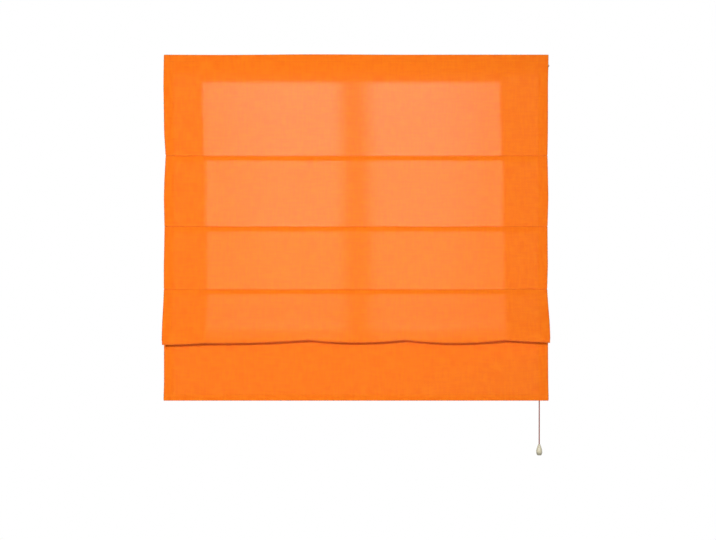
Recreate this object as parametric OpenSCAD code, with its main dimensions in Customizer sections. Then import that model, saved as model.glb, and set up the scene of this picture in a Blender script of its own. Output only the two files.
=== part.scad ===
// Roman blind with a cord lock, drawn up by one fold.
// Frame: +Z up, the cloth faces -Y, the wall is the plane Y = 0.
// The origin is the centre of the four wall screw holes in the two brackets.

/* [Cloth] */
// Width of the finished cloth
cloth_w = 1200; // [900:10:1600]
// Thickness of the cloth
cloth_t = 0.8; // [0.6:0.1:1.2]
// Slack between two layers of cloth that are sewn together
fold_gap = 0.3; // [0.2:0.05:0.6]
// Top edge to the first rod seam
panel_1 = 317; // [200:1:450]
// First rod seam to the second
panel_2 = 221; // [150:1:350]
// Second rod seam to the third
panel_3 = 196; // [150:1:350]
// Third rod seam to the bottom of the hanging fold, at a lift cord
fold_drop = 162; // [140:1:220]
// Bottom of the hanging fold, at a lift cord, up to the lowest rod's seam
fold_rise = 18; // [14:1:70]
// How far the hanging fold stands in front of the cloth above it
fold_reach = 32; // [26:1:50]
// Radius of the bend at the bottom of the hanging fold
fold_r = 6; // [4:1:13]
// How much lower the fold hangs midway between two lift cords
swag = 8; // [0:1:14]
// Bottom of the hanging fold, at a lift cord, to the bottom edge
flap_drop = 187; // [100:1:300]
// Depth of a rod tuck, from its seam to its far edge
tuck_h = 15.5; // [10:0.5:25]
// Depth of the top hem
top_hem = 24; // [22:1:40]
// Depth of the bottom hem
bottom_hem = 22; // [20:1:40]
// How far the cloth is stuck to the left of the rail's middle
cloth_offset = 3; // [0:0.5:6]

/* [Rods and weight bar] */
// Diameter of a rod
rod_d = 4; // [3:0.5:6]
// Distance from a side edge of the cloth to a rod's end
rod_inset = 10; // [4:1:40]
// Room round a rod or the bar in its pocket
pocket_gap = 0.25; // [0.15:0.05:0.6]
// Height of the weight bar
bar_h = 15; // [10:1:17]
// Thickness of the weight bar
bar_t = 3; // [2:0.5:5]

/* [Rings and lift cords] */
// Outer lift cord to the side edge of a centred cloth
cord_inset = 131.25; // [80:0.25:200]
// Diameter of a lift cord
cord_d = 1.4; // [1:0.1:1.6]
// Distance between the lift cords where they lie side by side
cord_lane = 1.8; // [1.7:0.1:2]
// Outer diameter of a ring
ring_od = 14; // [13:0.5:18]
// Thickness of a ring's wire
ring_wire = 2; // [1.5:0.25:2.25]
// Diameter of a cord stop
stop_d = 8; // [6:0.5:12]
// Height of a cord stop
stop_h = 12; // [8:1:20]
// Diameter of the knot under a cord stop
knot_d = 4; // [3:0.25:6]

/* [Head rail] */
// How much shorter the rail is than the cloth
rail_short = 7; // [4:1:20]
// Depth of the rail
rail_d = 20; // [19:0.5:26]
// Height of the rail
rail_h = 40; // [38:1:60]
// Wall thickness of the rail
rail_wall = 1.6; // [1.2:0.1:2]
// Width of the cord slot in the rail's floor
floor_slot = 10; // [9.5:0.5:12]
// Width of the key slot in the rail's top
key_slot = 9; // [8:0.5:10]
// Thickness of the lips beside the key slot
lip_t = 1.8; // [1.2:0.1:2.5]
// Room under the lips of the key slot
key_room = 5; // [4.8:0.2:7]
// Rail's top down to its screw ports
port_drop = 28; // [24:1:29]
// Rail's top down to the tapes
tape_drop = 1; // [0:0.5:4]
// Height of the hook and loop tapes
tape_h = 16; // [10:1:18]
// Thickness of each tape
tape_t = 1.2; // [0.8:0.1:2]

/* [End caps] */
// Thickness of an end cap's flange
cap_t = 3; // [2:0.5:5]
// How far an end cap's plug reaches into the rail
plug_l = 10; // [6:1:14]
// Wall thickness of the plug
plug_wall = 2; // [1.2:0.2:3]
// Diameter of an end cap screw
screw_d = 2.9; // [2.2:0.1:3.1]
// Diameter of the screw's head
head_d = 5.6; // [4:0.2:6]
// Height of the screw's head
head_h = 3; // [1.5:0.5:4]
// Length of the screw under its head
screw_l = 14; // [10:1:25]

/* [Brackets] */
// Middle of a bracket to the side edge of a centred cloth
bracket_inset = 150; // [60:5:200]
// Width of a bracket
bracket_w = 36; // [32:1:60]
// Thickness of the bracket's steel
plate_t = 2; // [1.5:0.25:3]
// Outer radius of the bracket's bend
bend_r = 4; // [3.5:0.5:6]
// Gap between the wall and the rail
wall_gap = 18; // [16:1:40]
// Centre of the wall holes up to the underside of the bracket's top
bracket_rise = 22; // [18:1:40]
// Centre of the wall holes down to the bracket's lower edge
bracket_fall = 22; // [16:1:40]
// Diameter of the screw holes
hole_d = 5; // [4:0.5:6]
// Distance between the wall holes of a bracket
hole_pitch = 20; // [12:1:24]
// Distance between the ceiling holes of a bracket
ceiling_pitch = 16; // [12:1:18]
// Size of the two stiffening ribs in the bracket's corner
rib = 5; // [3:0.5:8]
// Side of a bracket to the middle of its rib
rib_inset = 4; // [2:0.5:6]

/* [Clamp levers] */
// Thickness of the lever
lever_t = 2.6; // [2:0.2:4]
// Length of the lever from its pivot to its tip
lever_l = 24; // [20:0.5:25]
// Width of the lever's arm
lever_w = 8; // [6:0.5:9]
// Thickness of the key under the rail's lips
key_t = 2.4; // [1.5:0.1:3]
// Play between the lever and what it turns beside
swing_gap = 0.2; // [0.1:0.05:0.4]
// Diameter of the rivet that the lever turns on
rivet_d = 4; // [3:0.5:5]
// Height of the rivet's head
rivet_head_h = 0.8; // [0.6:0.1:1.5]

/* [Cord guides and cord lock] */
// Rail's top down to the guides' saddles and the lock's roller
saddle_drop = 21; // [19:0.5:22]
// Radius of the guides' saddles and the lock's roller
saddle_r = 4; // [3.5:0.25:4.5]
// Room between a cord and what it runs over
run_gap = 0.3; // [0.3:0.05:0.5]
// Thickness of a guide's base
base_t = 3; // [2:0.25:3.5]
// Thickness of a guide's cheeks
cheek_t = 1.2; // [1:0.1:1.3]
// Rail's end to the pull cord
lock_inset = 24; // [22:0.5:60]
// Diameter of the roller's axle
axle_d = 3; // [2:0.25:3.5]
// Diameter of the knurled locking pin
pin_d = 6.4; // [5:0.2:7]
// Diameter of the pin's end journals
journal_d = 3.5; // [2.5:0.25:4]
// Roller's axis down to the pin where it locks
pin_drop = 9.5; // [8.5:0.25:10]
// How far the pin can travel in its slot
pin_travel = 5; // [3:0.5:6]
// Slope of the pin's slot
slot_angle = 30; // [20:1:40]

/* [Pull cord] */
// Length of the lift cords between the lock and the joiner
strand_l = 146; // [60:2:200]
// Length of the pull cord, from its socket in the joiner to its knot
pull_l = 1028; // [300:1:1500]
// Diameter of the pull cord
pull_d = 3.5; // [2:0.25:4]
// Diameter of the cord joiner
joiner_d = 12; // [11:0.5:16]
// Diameter of the pull at the cord's end
drop_d = 19; // [14:0.5:26]
// Height of the pull
drop_h = 34; // [26:1:50]

/* [Hidden] */
$fn = 48;
EDGE = 0.01;
CORDS = 4;
RODS = 4;
NAMES_PER_CORD = ["cord_guide_", "lift_cord_"];

// Clearances
fit = 0.2;
pin_fit = 0.06;
seat = 0.2;
hold = 0.05;
key_gap = 0.65;
shank_gap = 0.5;
exit_gap = 0.8;

// Heights of the head rail
rail_top = bracket_rise - lever_t - 2 * swing_gap;
rail_bottom = rail_top - rail_h;
rail_floor = rail_bottom + rail_wall;
chamber_top = rail_top - lip_t - key_room - rail_wall;
cloth_top = bracket_rise + plate_t + rivet_head_h + fit;
tape_top = rail_top - tape_drop;

// Depths from the wall to the cloth
rail_l = cloth_w - rail_short;
rail_back = -wall_gap;
rail_front = rail_back - rail_d;
rail_mid = (rail_front + rail_back) / 2;
rail_inner = rail_d - 2 * rail_wall;
layer = cloth_t + fold_gap;
cloth_y = rail_front - 2 * tape_t - layer - cloth_t / 2;

// Rod pockets
pocket_r = rod_d / 2 + pocket_gap + cloth_t / 2;
rod_y = layer + pocket_r;
rod_drop = tuck_h - pocket_r - cloth_t / 2;
rod_l = cloth_w - 2 * rod_inset;
seams = [-panel_1, -panel_1 - panel_2, -panel_1 - panel_2 - panel_3];
fold_z = seams[2] - fold_drop;
low_seam = fold_z + fold_rise;
bottom_z = fold_z - flap_drop;
rod_zs = concat([for (z = seams) z - rod_drop], [low_seam + rod_drop]);

// Lift cords
cord_pitch = (cloth_w - 2 * cord_inset) / (CORDS - 1);
ring_y = cloth_y + rod_y + pocket_r + cloth_t / 2 + seat + ring_od / 2;
cord_y = ring_y;
cord_xs = [for (i = [0:CORDS - 1]) (i - (CORDS - 1) / 2) * cord_pitch];
lane_half = (CORDS - 1) / 2 * cord_lane;
function lane(i) = cord_y - lane_half + i * cord_lane;
bend = saddle_r + run_gap + cord_d / 2;
saddle_z = rail_top - saddle_drop;
run_z = saddle_z + bend;
pull_x = rail_l / 2 - lock_inset;
ring_low_z = cloth_top + rod_zs[RODS - 1];
stop_top = ring_low_z - ring_wire / 2;
joiner_z = rail_bottom - strand_l;

// Guides and lock
base_top = rail_floor + base_t;
cheek_in = lane_half + cord_d / 2 + fit;
cheek_out = cheek_in + cheek_t;
exit_half = cord_d / 2 + exit_gap;
roller_x = pull_x - bend;
pin_x = pull_x - cord_d / 2 - run_gap - pin_d / 2;
pin_z = saddle_z - pin_drop;
slot_dir = [-cos(slot_angle), sin(slot_angle)];
guide_rim = 2;
guide_back = 8;
guide_front = 3;
guide_tongue = 5;
lock_rim = 2.5;
lock_left = -20;
lock_right = 7;
lock_step = 5;
lock_rise = 3;
lock_wall = 2;
flange_t = 2;
flange_lip = 2;
anvil_t = 3;
anvil_x = pull_x + cord_d / 2 + run_gap;
knurl_depth = 0.25;

// Bracket and clamp lever
bracket_xs = [bracket_inset - cloth_w / 2, cloth_w / 2 - bracket_inset];
plate_inset = 1;
top_plate_front = rail_front + plate_inset;
rivet_head_d = 2 * rivet_d;
rivet_tail_d = 1.6 * rivet_d;
shank_d = key_slot - 2 * shank_gap;
key_w = key_slot - 4 * swing_gap;
key_l = rail_inner - 2 * key_gap;
key_top = rail_top - lip_t - swing_gap;

// End caps and the rail's screw ports
cap_corner = 1.5;
head_tip_d = 0.6 * head_d;
port_wall = 0.95;
port_skin = 0.1;
port_r = screw_d / 2 + port_wall;
port_hole_r = screw_d / 2 + hold;
port_inset = port_r + port_skin;
port_z = rail_top - port_drop;
port_ys = [rail_front + port_inset, rail_back - port_inset];

// Cord stops, and the cord joiner with heights below its top
stop_taper = 1.5;
stop_edge = 1;
joiner_cup = 11;
joiner_split = 16;
joiner_l = 28;
joiner_neck = 4;
joiner_wall = 1.9;
joiner_rim = 2;
joiner_tip = 1.2;
cord_socket = 10;
drop_neck_d = 7;
drop_bore_l = 18;
drop_knot_d = 8;
drop_belly = 0.7;
drop_round = 0.42;
pull_knot_d = 6.4;
// Free pull cord as it is drawn, from its socket to its knot: sideways, depthways, down
pull_route = [
    [0, 0, 0], [0, 0, 30], [0.2, 0, 80], [0.4, 0, 130], [0.5, 0.1, 180], [0.5, 0.2, 230],
    [0.4, 0.3, 280], [0.2, 0.3, 330], [0, 0.2, 380], [-0.2, 0, 430], [-0.3, 0, 480],
    [-0.4, -0.1, 530], [-0.4, -0.2, 580], [-0.3, -0.2, 630], [-0.2, -0.1, 680], [0, 0, 730],
    [0.1, 0, 780], [0.2, 0.1, 830], [0.2, 0.1, 880], [0.1, 0, 930], [0, 0, 980], [0, 0, 1010],
    [0, 0, 1028]
];
// The knot below it, as steps down and thicknesses
knot_end_d = 0.7 * pull_knot_d;
knot_rings = [[pull_d, knot_end_d], [2 * pull_d, pull_knot_d], [3 * pull_d, knot_end_d]];
route_scale = pull_l / pull_route[len(pull_route) - 1].z;
pull_points = concat(
    [for (p = pull_route) [p.x, p.y, p.z * route_scale]],
    [for (k = knot_rings) [0, 0, pull_l + k.x]]
);
pull_thick = concat([for (p = pull_route) pull_d], [for (k = knot_rings) k.y]);
pull_top = joiner_z - joiner_l + cord_socket - fit;
drop_top = pull_top - pull_l - fit + drop_bore_l;

// Helpers

// Carries an outline of depth and height along the width
module along_x(l) {
    rotate([90, 0, 90])
        linear_extrude(l, center = true)
            children();
}

// Carries an outline of width and height through the depth
module along_y(l) {
    rotate([90, 0, 0])
        linear_extrude(l, center = true)
            children();
}

module rounded_rect(w, h, r) {
    translate([-w / 2 + r, -h / 2])
        square([w - 2 * r, h]);
    translate([-w / 2, -h / 2 + r])
        square([w, h - 2 * r]);
    for (x = [-1, 1], y = [-1, 1])
        translate([x * (w / 2 - r), y * (h / 2 - r)])
            circle(r = r);
}

// A rod of diameter d along the depth, centred on the lift cords
module cross_rod(d, l) {
    rotate([90, 0, 0])
        cylinder(d = d, h = l, center = true);
}

// Section curves, as lists of [depth, height]
function arc(c, r, from, to, n) =
    [for (i = [0:n]) let (a = from + (to - from) * i / n) c + r * [cos(a), sin(a)]];
function curve(a, b, c, d, n) =
    [for (i = [1:n]) let (u = i / n, v = 1 - u)
        v * v * v * a + 3 * v * v * u * b + 3 * v * u * u * c + u * u * u * d];
function unit(v) = v / norm(v);
function across(a, b) = let (d = unit(b - a)) [-d.y, d.x];

// The curve moved sideways by d, with mitred corners
function beside(path, d) =
    [for (i = [0:len(path) - 1])
        let (
            m = across(path[max(i - 1, 0)], path[max(i, 1)]),
            n = across(path[min(i, len(path) - 2)], path[min(i + 1, len(path) - 1)])
        )
        path[i] + d * (m + n) / (1 + m * n)];

// Cloth

top_turn = -(layer + cloth_t) / 2;
bar_wrap = bar_t + 2 * pocket_gap + cloth_t;
bar_turn = bottom_z + (bar_wrap + cloth_t) / 2;
flap_y = rod_y + layer / 2;

// The hem folded back at the top
function top_hem_path() = concat(
    [[layer, -top_hem]],
    arc([layer / 2, top_turn], layer / 2, 0, 180, 4)
);

// A tuck behind the cloth: back over the seam, round the rod, and up to the seam again
function tuck_path(z) = concat(
    [for (p = [[0, 2], [0.45, 0.95], [1.55, 0.3], [2.4, -0.8]]) [0, z] + layer * p],
    arc([rod_y, z - rod_drop], pocket_r, 10, -180, 6),
    arc([layer / 2, z - layer], layer / 2, 0, 180, 3)
);

// The soft fold that hangs in front, its bottom at height z
function fold_path(z) = let (
    front = [-fold_reach, z + fold_r],
    back = [2 * fold_r - fold_reach, z + fold_r],
    start = [0, seams[2] - layer],
    end = [rod_y - layer / 2, low_seam],
    lean = (start.y - front.y) / 3,
    climb = (end.y - back.y) / 3
) concat(
    curve(start, start - [fold_reach / 5, lean], front + [0, lean], front, 6),
    [for (p = arc((front + back) / 2, fold_r, 180, 360, 6)) if (p != front) p],
    curve(back, back + [0, climb], end - [0, climb], end, 3)
);

// The lowest tuck, round its rod from below and down again into the flap
function low_tuck_path() = concat(
    arc([rod_y, low_seam + rod_drop], pocket_r, 190, -10, 7),
    [[flap_y, low_seam]]
);

// The hem round the weight bar
function bottom_hem_path() = concat(
    arc([flap_y + bar_wrap / 2, bar_turn], bar_wrap / 2, 180, 360, 5),
    [[flap_y + bar_wrap, bar_turn + bar_h - bar_t], [flap_y + layer, bottom_z + bottom_hem]]
);

upper_path = concat(top_hem_path(), [for (z = seams) each tuck_path(z)]);
lower_path = concat(low_tuck_path(), bottom_hem_path());

// How much lower the fold hangs at width x: a swag between cords, a droop outside them
cord_half = (CORDS - 1) / 2 * cord_pitch;
function swag_at(x) =
    abs(x) > cord_half
    ? swag * (abs(x) - cord_half) / (cloth_w / 2 + cloth_offset - cord_half)
    : let (s = x / cord_pitch + CORDS, u = s - floor(s + 0.5) + 0.5) swag * 4 * u * (1 - u);

// Widths at which the section is drawn
span_steps = 3;
cloth_edges = [-cloth_w / 2 - cloth_offset, cloth_w / 2 - cloth_offset];
knots = concat([cloth_edges[0]], cord_xs, [cloth_edges[1]]);
cloth_xs = concat(
    [for (k = [0:len(knots) - 2], s = [0:span_steps - 1])
        knots[k] + (knots[k + 1] - knots[k]) * s / span_steps],
    [cloth_edges[1]]
);

module blind_cloth() {
    paths = [for (x = cloth_xs) concat(upper_path, fold_path(fold_z - swag_at(x)), lower_path)];
    n = len(paths[0]);
    points = [for (k = [0:len(paths) - 1])
        for (p = concat(beside(paths[k], cloth_t / 2), beside(paths[k], -cloth_t / 2)))
            [cloth_xs[k], cloth_y + p.x, cloth_top + p.y]];
    last = 2 * n * (len(paths) - 1);
    // Round the section: down one face of the cloth, then up the other
    loop = concat([for (i = [0:n - 1]) i], [for (i = [n - 1:-1:0]) n + i]);
    sides = [for (k = [0:len(paths) - 2], i = [0:2 * n - 1])
        let (
            a = 2 * n * k + loop[i],
            b = 2 * n * k + loop[(i + 1) % (2 * n)],
            c = a + 2 * n,
            d = b + 2 * n
        )
        each [[a, b, d], [a, d, c]]];
    ends = [for (i = [0:n - 2])
        each [
            [i, n + i, i + 1],
            [i + 1, n + i, n + i + 1],
            [last + i, last + i + 1, last + n + i],
            [last + i + 1, last + n + i + 1, last + n + i]
        ]];
    color("darkorange")
        polyhedron(points, concat(sides, ends), convexity = 10);
}

module loop_tape() {
    color("moccasin")
        translate([-cloth_offset, rail_front - 1.5 * tape_t, tape_top - tape_h / 2])
            cube([rail_l, tape_t, tape_h], center = true);
}

// Rods, weight bar and rings

module rod(i) {
    color("whitesmoke")
        translate([-cloth_offset, cloth_y + rod_y, cloth_top + rod_zs[i]])
            rotate([0, 90, 0])
                cylinder(d = rod_d, h = rod_l, center = true);
}

module weight_bar() {
    color("lightgray")
        translate([-cloth_offset, cloth_y + flap_y + bar_wrap / 2, cloth_top + bar_turn])
            along_x(rod_l) {
                translate([-bar_t / 2, 0])
                    square([bar_t, bar_h - bar_t]);
                circle(d = bar_t);
                translate([0, bar_h - bar_t])
                    circle(d = bar_t);
            }
}

module rings(i) {
    color("ivory")
        for (x = cord_xs)
            translate([x, ring_y, cloth_top + rod_zs[i]])
                rotate_extrude()
                    translate([(ring_od - ring_wire) / 2, 0])
                        circle(d = ring_wire);
}

// Head rail

module rail_section() {
    difference() {
        union() {
            difference() {
                translate([rail_front, rail_bottom])
                    square([rail_d, rail_h]);
                translate([rail_front + rail_wall, rail_floor])
                    square([rail_inner, chamber_top - rail_floor]);
            }
            for (y = port_ys)
                translate([y, port_z])
                    circle(r = port_r);
        }
        translate([rail_front + rail_wall, rail_top - lip_t - key_room])
            square([rail_inner, key_room]);
        translate([rail_mid - key_slot / 2, rail_top - lip_t - EDGE])
            square([key_slot, lip_t + 2 * EDGE]);
        translate([rail_mid - floor_slot / 2, rail_bottom - EDGE])
            square([floor_slot, rail_wall + 2 * EDGE]);
        for (y = port_ys)
            translate([y, port_z])
                circle(r = port_hole_r);
    }
}

module head_rail() {
    color("white")
        along_x(rail_l)
            rail_section();
}

module hook_tape() {
    color("white")
        translate([0, rail_front - tape_t / 2, tape_top - tape_h / 2])
            cube([rail_l, tape_t, tape_h], center = true);
}

// A cap on one end of the rail: side is -1 for left, 1 for right
module end_cap(side) {
    plug_bottom = port_z + port_r + fit;
    plug_h = chamber_top - fit - plug_bottom;
    plug_d = rail_inner - 2 * fit;
    color("white")
        difference() {
            union() {
                translate([side * (rail_l + cap_t) / 2, rail_mid, (rail_top + rail_bottom) / 2])
                    along_x(cap_t)
                        rounded_rect(rail_d, rail_h, cap_corner);
                translate([side * (rail_l - plug_l) / 2, rail_mid, plug_bottom + plug_h / 2])
                    along_x(plug_l)
                        difference() {
                            square([plug_d, plug_h], center = true);
                            square([plug_d - 2 * plug_wall, plug_h - 2 * plug_wall], center = true);
                        }
            }
            for (y = port_ys)
                translate([side * (rail_l + cap_t) / 2, y, port_z])
                    rotate([0, 90, 0])
                        cylinder(d = screw_d + fit, h = cap_t + 2 * EDGE, center = true);
        }
}

// Pan-head screws through the caps into the rail's ports
module end_cap_screws() {
    color("dimgray")
        for (side = [-1, 1], y = port_ys)
            translate([side * (rail_l / 2 + cap_t), y, port_z])
                rotate([0, side * 90, 0]) {
                    translate([0, 0, -screw_l])
                        cylinder(d = screw_d, h = screw_l);
                    cylinder(d = head_d, h = head_h / 2);
                    translate([0, 0, head_h / 2])
                        cylinder(d1 = head_d, d2 = head_tip_d, h = head_h / 2);
                }
}

// Brackets

module bracket_section() {
    translate([-plate_t, -bracket_fall])
        square([plate_t, bracket_fall + bracket_rise + plate_t - bend_r]);
    translate([top_plate_front, bracket_rise])
        square([-bend_r - top_plate_front, plate_t]);
    intersection() {
        translate([-bend_r, bracket_rise + plate_t - bend_r])
            difference() {
                circle(r = bend_r);
                circle(r = bend_r - plate_t);
            }
        translate([-bend_r, bracket_rise + plate_t - bend_r])
            square(bend_r);
    }
}

module bracket(i) {
    color("gainsboro")
        translate([bracket_xs[i], 0, 0])
            difference() {
                union() {
                    along_x(bracket_w)
                        bracket_section();
                    for (side = [-1, 1])
                        translate([side * (bracket_w / 2 - rib_inset), -plate_t, bracket_rise])
                            along_x(plate_t)
                                polygon([[EDGE, EDGE], [-rib, EDGE], [EDGE, -rib]]);
                }
                for (z = [-0.5, 0.5])
                    translate([0, -plate_t / 2, z * hole_pitch])
                        cross_rod(hole_d, plate_t + 2 * EDGE);
                for (x = [-0.5, 0.5])
                    translate([x * ceiling_pitch, -wall_gap / 2, bracket_rise - EDGE])
                        cylinder(d = hole_d, h = plate_t + 2 * EDGE);
                translate([0, rail_mid, bracket_rise - EDGE])
                    cylinder(d = rivet_d + 2 * hold, h = plate_t + 2 * EDGE);
            }
}

// Quarter-turn lever: an arm above the rail and a key under the rail's lips
module clamp_lever(i) {
    color("white")
        translate([bracket_xs[i], rail_mid, 0])
            difference() {
                union() {
                    translate([0, 0, rail_top + swing_gap])
                        linear_extrude(lever_t) {
                            circle(d = 2 * lever_w);
                            translate([0, -lever_w / 2])
                                square([lever_l - lever_w / 2, lever_w]);
                            translate([lever_l - lever_w / 2, 0])
                                circle(d = lever_w);
                        }
                    translate([0, 0, key_top - key_t / 2])
                        cylinder(d = shank_d, h = rail_top + swing_gap + lever_t / 2 - key_top + key_t / 2);
                    translate([0, 0, key_top - key_t])
                        linear_extrude(key_t)
                            intersection() {
                                circle(d = key_l);
                                square([key_w, 2 * key_l], center = true);
                            }
                }
                translate([0, 0, key_top - key_t - EDGE])
                    cylinder(d = rivet_d + 2 * pin_fit, h = bracket_rise - key_top + key_t);
            }
}

module clamp_rivet(i) {
    rivet_end = key_top - key_t - swing_gap;
    color("silver")
        translate([bracket_xs[i], rail_mid, 0]) {
            translate([0, 0, rivet_end])
                cylinder(d = rivet_d, h = bracket_rise + plate_t - rivet_end);
            translate([0, 0, bracket_rise + plate_t])
                cylinder(d = rivet_head_d, h = rivet_head_h);
            translate([0, 0, rivet_end - rivet_head_h])
                cylinder(d = rivet_tail_d, h = rivet_head_h);
        }
}

// Cord guides and cord lock

// A base on the rail's floor with a tongue in the floor slot, open for the cords at width x
module slot_base(x, from, to, tongue_from, tongue_to, tongue_drop) {
    tongue_w = floor_slot - 2 * fit;
    difference() {
        union() {
            translate([x + from, rail_mid - rail_inner / 2 + fit, rail_floor])
                cube([to - from, rail_inner - 2 * fit, base_t]);
            translate([x + tongue_from, rail_mid - tongue_w / 2, rail_bottom - tongue_drop])
                cube([tongue_to - tongue_from, tongue_w, rail_wall + tongue_drop + EDGE]);
        }
        translate([x, cord_y, rail_floor])
            cube([2 * exit_half, 2 * cheek_in, 4 * (base_t + rail_wall + tongue_drop)], center = true);
    }
}

module cord_guide(i) {
    x = cord_xs[i];
    cheek_r = saddle_r + guide_rim;
    color("ivory") {
        slot_base(x, -guide_back, bend + cheek_r + guide_front, -guide_tongue, bend + guide_tongue, 0);
        for (side = [-1, 1])
            translate([x + bend, cord_y + side * (cheek_in + cheek_out) / 2, 0])
                along_y(cheek_t) {
                    translate([0, saddle_z])
                        circle(r = cheek_r);
                    translate([-cheek_r, base_top - EDGE])
                        square([2 * cheek_r, saddle_z - base_top + EDGE]);
                }
        translate([x + bend, cord_y, saddle_z])
            cross_rod(2 * saddle_r, 2 * cheek_in + cheek_t);
    }
}

module cord_lock_body() {
    cheek_r = saddle_r + lock_rim;
    flange_left = lock_left + lock_step;
    flange_w = floor_slot + 2 * flange_lip;
    color("ivory")
        difference() {
            union() {
                slot_base(pull_x, lock_left, lock_right, flange_left, lock_right - fit, fit);
                difference() {
                    translate([pull_x + flange_left, rail_mid - flange_w / 2, rail_bottom - flange_t])
                        cube([lock_right - flange_left, flange_w, flange_t - fit / 4]);
                    translate([pull_x, cord_y, rail_bottom])
                        cube([2 * exit_half, 2 * cheek_in, 4 * flange_t], center = true);
                }
                for (side = [-1, 1])
                    translate([0, cord_y + side * (cheek_in + cheek_out) / 2, 0])
                        along_y(cheek_t) {
                            translate([roller_x, saddle_z])
                                circle(r = cheek_r);
                            translate([roller_x - cheek_r, base_top - EDGE])
                                square([2 * cheek_r, saddle_z - base_top + EDGE]);
                            translate([pull_x + lock_left, base_top - EDGE])
                                square([lock_right - lock_left, saddle_z - cheek_r + lock_rise - base_top]);
                        }
                translate([anvil_x, cord_y - cheek_out, base_top - EDGE])
                    cube([anvil_t, 2 * cheek_out, saddle_z - saddle_r - base_top]);
                translate([pull_x + lock_left, cord_y - cheek_out, base_top - EDGE])
                    cube([lock_wall, 2 * cheek_out, lock_step]);
            }
            translate([0, cord_y, 0])
                pin_slot();
            translate([roller_x, cord_y, saddle_z])
                cross_rod(axle_d + 2 * hold, 2 * (cheek_out + EDGE));
        }
}

// The slanted slot that the pin's journals slide in
module pin_slot() {
    w = journal_d / 2 + run_gap;
    l = 2 * (cheek_out + EDGE);
    for (s = [0, pin_travel])
        translate([pin_x + s * slot_dir.x, 0, pin_z + s * slot_dir.y])
            cross_rod(2 * w, l);
    translate([pin_x, 0, pin_z])
        rotate([0, slot_angle, 0])
            translate([-pin_travel, -l / 2, -w])
                cube([pin_travel, l, 2 * w]);
}

module lock_roller() {
    color("white")
        translate([roller_x, cord_y, saddle_z])
            difference() {
                cross_rod(2 * saddle_r, 2 * (cheek_in - run_gap));
                cross_rod(axle_d + 2 * pin_fit, 2 * cheek_in);
            }
}

module lock_axle() {
    color("silver")
        translate([roller_x, cord_y, saddle_z])
            cross_rod(axle_d, 2 * cheek_out);
}

// Locking pin: a knurled barrel with a plain journal at each end
module lock_pin() {
    ridges = 20;
    color("goldenrod")
        translate([pin_x, cord_y, pin_z]) {
            cross_rod(journal_d, 2 * cheek_out);
            along_y(2 * (cheek_in - run_gap))
                polygon([for (i = [0:2 * ridges - 1])
                    (pin_d / 2 - (i % 2) * knurl_depth) * [cos(180 * i / ridges), sin(180 * i / ridges)]]);
        }
}

// Lift cords, stops, joiner and pull

// A cord: up behind the cloth, over its guide, along the rail, over the lock and down
module lift_cord(i) {
    low = stop_top - stop_h;
    color("peru")
        translate([0, lane(i), 0]) {
            translate([cord_xs[i], 0, low - knot_d / 2])
                sphere(d = knot_d);
            translate([cord_xs[i], 0, low - knot_d / 2])
                cylinder(d = cord_d, h = saddle_z - low + knot_d / 2);
            quarter_turn(cord_xs[i] + bend, 180);
            translate([cord_xs[i] + bend, 0, run_z])
                rotate([0, 90, 0])
                    cylinder(d = cord_d, h = roller_x - cord_xs[i] - bend);
            quarter_turn(roller_x, 90);
            translate([pull_x, 0, joiner_z - joiner_cup])
                cylinder(d = cord_d, h = saddle_z - joiner_z + joiner_cup);
        }
}

// A cord's quarter turn over a saddle at width x, ending at the given angle
module quarter_turn(x, angle) {
    translate([x, 0, saddle_z])
        rotate([90, 0, 0])
            rotate([0, 0, angle - 90])
                rotate_extrude(angle = 90)
                    translate([bend, 0])
                        circle(d = cord_d);
}

module cord_stops() {
    color("ivory")
        for (i = [0:CORDS - 1])
            translate([cord_xs[i], lane(i), stop_top - stop_h])
                rotate_extrude()
                    polygon([
                        [cord_d / 2 + fit, 0],
                        [stop_d / 2 - stop_taper, 0],
                        [stop_d / 2, stop_h / 3],
                        [stop_d / 2, stop_h - stop_edge],
                        [stop_d / 2 - stop_edge, stop_h],
                        [cord_d / 2 + fit, stop_h]
                    ]);
}

module joiner_top() {
    r = joiner_d / 2;
    color("ivory")
        translate([pull_x, cord_y, joiner_z])
            rotate_extrude()
                polygon([
                    [0, -joiner_cup],
                    [r - joiner_wall, -joiner_cup],
                    [r - joiner_wall, 0],
                    [r - joiner_wall / 2, 0],
                    [r, -joiner_cup / 2],
                    [r, -joiner_split],
                    [r - joiner_wall, -joiner_split],
                    [r - joiner_wall, fit - joiner_split + joiner_neck],
                    [0, fit - joiner_split + joiner_neck]
                ]);
}

module joiner_bottom() {
    r = joiner_d / 2;
    socket_r = pull_d / 2 + fit;
    color("ivory")
        translate([pull_x, cord_y, joiner_z])
            rotate_extrude()
                polygon([
                    [0, joiner_neck - joiner_split],
                    [r - joiner_wall - hold, joiner_neck - joiner_split],
                    [r - joiner_wall - hold, -joiner_split],
                    [r, -joiner_split],
                    [r, -joiner_split - joiner_rim],
                    [socket_r + joiner_tip, -joiner_l],
                    [socket_r, -joiner_l],
                    [socket_r, cord_socket - joiner_l],
                    [0, cord_socket - joiner_l]
                ]);
}

// The free cord as one eight-sided tube that swells into its knot
module pull_cord() {
    sides = 8;
    n = len(pull_points);
    points = [for (k = [0:n - 1], s = [0:sides - 1])
        let (p = pull_points[k], a = 360 * s / sides)
        [pull_x + p.x, cord_y + p.y, pull_top - p.z] + pull_thick[k] / 2 * [cos(a), sin(a), 0]];
    walls = [for (k = [0:n - 2], s = [0:sides - 1])
        let (a = k * sides + s, b = k * sides + (s + 1) % sides)
        each [[a, b, b + sides], [a, b + sides, a + sides]]];
    color("peru")
        polyhedron(points, concat(
            walls,
            [[for (s = [sides - 1:-1:0]) s]],
            [[for (s = [0:sides - 1]) (n - 1) * sides + s]]
        ));
}

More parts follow.
